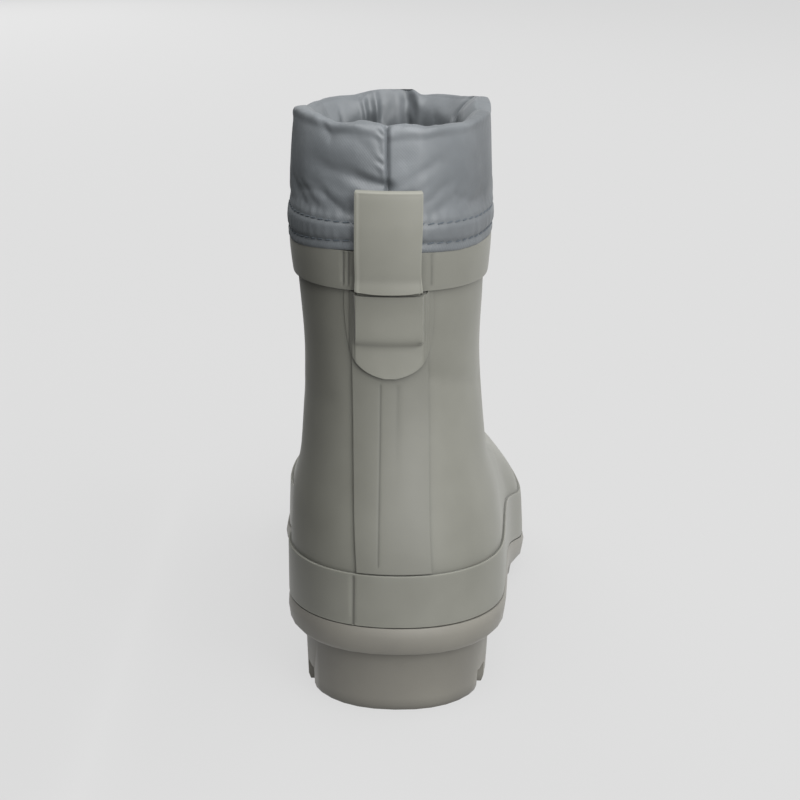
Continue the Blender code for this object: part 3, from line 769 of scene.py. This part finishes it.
def foldHeight(s, z, folds, whole):
    total = np.zeros_like(s)
    for points, height, width in folds:
        nearest, along = np.full_like(s, 1e9), np.zeros_like(s)
        for i, ((s0, z0), (s1, z1)) in enumerate(zip(points, points[1:])):
            ds, dz = wrapped(s - s0, whole), z - z0
            share = np.clip((ds * (s1 - s0) + dz * (z1 - z0)) / ((s1 - s0) ** 2 + (z1 - z0) ** 2), 0, 1)
            away = np.hypot(ds - share * (s1 - s0), dz - share * (z1 - z0))
            along = np.where(away < nearest, (i + share) / (len(points) - 1), along)
            nearest = np.minimum(nearest, away)
        level = np.interp(along, np.linspace(0, 1, np.size(height)), np.atleast_1d(height))
        total += level * np.exp(-(nearest / width) ** 2)
    return total


def puffHeight(s, z, puffs, whole):
    total = np.zeros_like(s)
    for middle, level, height, wide, high in puffs:
        total += height * np.exp(-(wrapped(s - middle, whole) / wide) ** 2 - ((z - level) / high) ** 2)
    return total


def collarPlaces(piece, outline):
    places, normals = readPoints(piece)
    middle, _ = collarBox()
    spoke = places[:, :2] - middle[:2]
    spoke /= np.linalg.norm(spoke, axis=1)[:, None]
    facing = (normals[:, :2] * spoke).sum(1)
    return places, normals, spoke, facing, roundCollar(places, outline), places[:, 2] / mm


# the cloth is a little larger than the padding and held at its seams, so it puckers there as it swells
def swellCloth(piece, settings, outline):
    whole = outline[1][-1] - outline[1][0]
    before, _, _, facing, s, z = collarPlaces(piece, outline)
    held = (z < settings["hemHeld"]) | ((facing < 0) & (z < settings["footHeld"]))
    for row in settings["stitchRows"]:
        held |= (np.abs(z - row) < settings["heldHalf"]) & (facing > 0.2)
    for seam in settings["seams"]:
        held |= (np.abs(wrapped(s - seam, whole)) < settings["heldHalf"]) & (z > settings["seamsFrom"])
    pins = piece.vertex_groups.new(name="sewn")
    pins.add([int(i) for i in np.flatnonzero(held)], 1.0, "REPLACE")
    scale = settings["simScale"]
    writePoints(piece, before * scale)
    onlySelect(piece)
    cloth = piece.modifiers.new("swell", "CLOTH")
    for name, value in settings["cloth"].items():
        setattr(cloth.settings, name, value)
    cloth.settings.shrink_min = -settings["spareCloth"]
    cloth.settings.uniform_pressure_force = settings["pressure"]
    cloth.settings.vertex_group_mass = pins.name
    cloth.settings.effector_weights.gravity = 0
    cloth.point_cache.frame_start = 1
    cloth.point_cache.frame_end = settings["frames"]
    for number in range(1, settings["frames"] + 1):
        bpy.context.scene.frame_set(number)
    bpy.ops.object.modifier_apply(modifier=cloth.name)
    bpy.context.scene.frame_set(1)
    after, _ = readPoints(piece)
    moved = after / scale - before
    length = np.linalg.norm(moved, axis=1) / mm
    most, usual = (round(float(value), 2) for value in (length.max(), length.mean()))
    print("cloth moved", most, "mm at most,", usual, "on average")
    moved *= np.minimum(1, settings["mostMove"] / np.maximum(length, 1e-6))[:, None]
    writePoints(piece, before + moved)
    applyModifier(piece, "SMOOTH", factor=0.5, iterations=settings["settle"], vertex_group="sewn",
                  invert_vertex_group=True)


# remeshed evenly, its hem backed, and the padding drawn in before it swells
def startCollar(settings, outline):
    piece = copyOf("collar", "padded_collar")
    places, _, spoke, _, _, z = collarPlaces(piece, outline)
    reach, spread = settings["hemBackReach"]
    behind = (z < settings["hemBackTo"]) & (np.abs(collarReach(places, settings) - reach) < spread)
    places[:, :2] -= spoke * (behind * settings["hemBacking"] * mm)[:, None]
    writePoints(piece, places)
    applyModifier(piece, "SUBSURF", levels=2, render_levels=2)
    applyModifier(piece, "REMESH", mode="VOXEL", voxel_size=settings["voxel"] * mm)
    applyModifier(piece, "SMOOTH", factor=0.5, iterations=4)
    places, _, spoke, facing, _, z = collarPlaces(piece, outline)
    inset = settings["startInset"] * step(*settings["padFrom"], z) * step(*settings["padFacing"], facing)
    places[:, :2] -= spoke * (inset * mm)[:, None]
    writePoints(piece, places)
    return piece


def makeCollar(settings):
    outline = collarOutline(settings)
    whole = outline[1][-1] - outline[1][0]
    piece = startCollar(settings, outline)
    swellCloth(piece, settings, outline)
    applyModifier(piece, "SUBSURF", levels=1, render_levels=1)
    places, normals, spoke, facing, s, z = collarPlaces(piece, outline)
    outer = np.where(z < settings["shaftTop"], 1, step(*settings["outerFacing"], facing))
    inner = 1 - step(*settings["innerFacing"], facing)

    move = outer * (foldHeight(s, z, outerFolds, whole) + puffHeight(s, z, outerPuffs, whole))
    ripple = sum(share * np.sin(s / long + start) for share, long, start in settings["puckerWaves"])
    for row in settings["stitchRows"]:
        near = np.exp(-((z - row) / settings["rowWidth"]) ** 2)
        above = np.exp(-((z - row - settings["puckerUp"]) / settings["puckerHigh"]) ** 2)
        move -= outer * (settings["rowDepth"] * near)
        move += outer * settings["pucker"] * ripple * above
    beside = np.exp(-((s - settings["seamPuckerAt"]) / settings["seamPuckerWide"]) ** 2)
    beside *= step(*settings["seamPuckerFrom"], z)
    far, often = settings["seamPuckerWander"]
    slanted = (z + settings["seamPuckerSlant"] * s) * 2 * math.pi / settings["seamPuckerPitch"]
    move += outer * settings["seamPucker"] * beside * np.sin(slanted + far * np.sin(z * often))
    places += normals * (move * mm)[:, None]

    gather = inner * foldHeight(s, z, innerFolds, whole) * step(*settings["gatherFrom"], z)
    gather *= 1 - 0.5 * step(*settings["gatherSoft"], z)
    places[:, :2] -= spoke * (gather * mm)[:, None]

    edge = step(*settings["rimEdgeFrom"], z) * step(*settings["rimEdgeFacing"], facing)
    out = settings["rimEdge"] * edge
    up = settings["rimLift"] * step(*settings["rimLiftFrom"], z)
    for middle, wide, cornerOut, cornerUp in settings["corners"]:
        near = np.exp(-(wrapped(s - middle, whole) / wide) ** 2) * step(*settings["cornersFrom"], z)
        out += cornerOut * near * step(*settings["cornersFacing"], facing)
        up += cornerUp * near
    places[:, :2] += spoke * (out * mm)[:, None]
    places[:, 2] += up * mm
    places[:, 2] += np.interp(s, *zip(*settings["rim"])) * step(*settings["rimFrom"], z) * mm
    places[:, 2] += np.interp(s, *zip(*settings["hem"])) * (1 - step(*settings["hemTo"], z)) * mm * outer
    skirt = (1 - step(*settings["skirtTo"], z)) * outer
    places[:, 2] -= settings["skirtDrop"] * skirt * mm
    places[:, :2] += spoke * (settings["skirtOut"] * skirt * mm)[:, None]
    writePoints(piece, places)

    # painted highlight and painted shade on the outer cloth
    keepPaintedLight(piece, outer * puffHeight(s, z, paintedCollarTones, whole))
    uvLayer = piece.data.uv_layers.new(name="weave")
    corners = np.empty(len(piece.data.loops), np.int32)
    piece.data.loops.foreach_get("vertex_index", corners)
    path = np.where(outer > 0.5, z, 2 * settings["foldLine"] - z)
    uvLayer.data.foreach_set("uv", np.stack((s[corners], path[corners]), 1).astype(np.float32).ravel())
    piece.data.materials.append(nylon)
    finishPiece(piece, "collar", angle=60)
    print("padded_collar", len(piece.data.polygons), "faces")
    return piece


collar = makeCollar(collarSettings)

# hem stitches: slightly slanted dashes lying in the sewn rows
stitchSettings = {
    "long": 3.0,
    "pitch": 4.2,
    "thick": 0.6,
    "blunt": 0.6,          # 1 is an oval bead, less is blunter at the ends
    "slant": 9,            # degrees
    "proud": 0.1,
    "rayFrom": 90,         # the cloth is found by a ray from this far off the collar's middle
}


def rowShare(row):
    return float(1 - step(*collarSettings["hemTo"], np.array(row)))


def makeStitches(cloth, settings):
    bpy.ops.object.select_all(action="DESELECT")
    bpy.ops.mesh.primitive_uv_sphere_add(segments=8, ring_count=6, radius=0.5)
    one = bpy.context.object
    one.name = "hem_stitches"
    shape, _ = readPoints(one)
    shape = shape[:, [2, 0, 1]]    # long way along the row
    blunt = settings["blunt"]
    shape[:, 0] = np.sign(shape[:, 0]) * np.abs(shape[:, 0]) ** blunt * 0.5 ** (1 - blunt)
    faces = [list(face.vertices) for face in one.data.polygons]
    middle, _ = collarBox()
    angles, lengths = collarOutline(collarSettings)
    whole = lengths[-1] - lengths[0]
    count = round(whole / settings["pitch"])
    tilt = math.radians(settings["slant"])
    points, polygons = [], []
    for row in collarSettings["stitchRows"]:
        for i in range(count):
            s = lengths[0] + (i + 0.5) * whole / count
            angle = float(np.interp(s, lengths, angles))
            level = (row + float(np.interp(s, *zip(*collarSettings["hem"]))) * rowShare(row)) * mm
            spoke = Vector((math.sin(angle), -math.cos(angle), 0))
            start = Vector((middle[0], middle[1], level)) + spoke * settings["rayFrom"] * mm
            hit, place, normal, _ = cloth.ray_cast(start, -spoke)
            if not hit:
                continue
            along = Vector((0, 0, 1)).cross(normal).normalized()
            up = normal.cross(along)
            lengthways = along * math.cos(tilt) + up * math.sin(tilt)
            across = normal.cross(lengthways)
            turn = np.array((lengthways * settings["long"], across * settings["thick"],
                             normal * settings["thick"]))
            first = len(points) * len(shape)
            points.append(shape @ turn * mm + np.array(place) + np.array(normal) * settings["proud"] * mm)
            polygons += [[first + corner for corner in face] for face in faces]
    one.data.clear_geometry()
    one.data.from_pydata([tuple(p) for block in points for p in block], [], polygons)
    one.data.materials.append(thread)
    finishPiece(one)
    print("hem_stitches", len(points), "stitches")


makeStitches(collar, stitchSettings)

# foam insole with its cloth top
bed = copyOf("insole", "foam_bed")
bed.data.materials.append(insoleCloth)
finishPiece(bed, "insole")
print("foam_bed", len(bed.data.polygons), "faces")
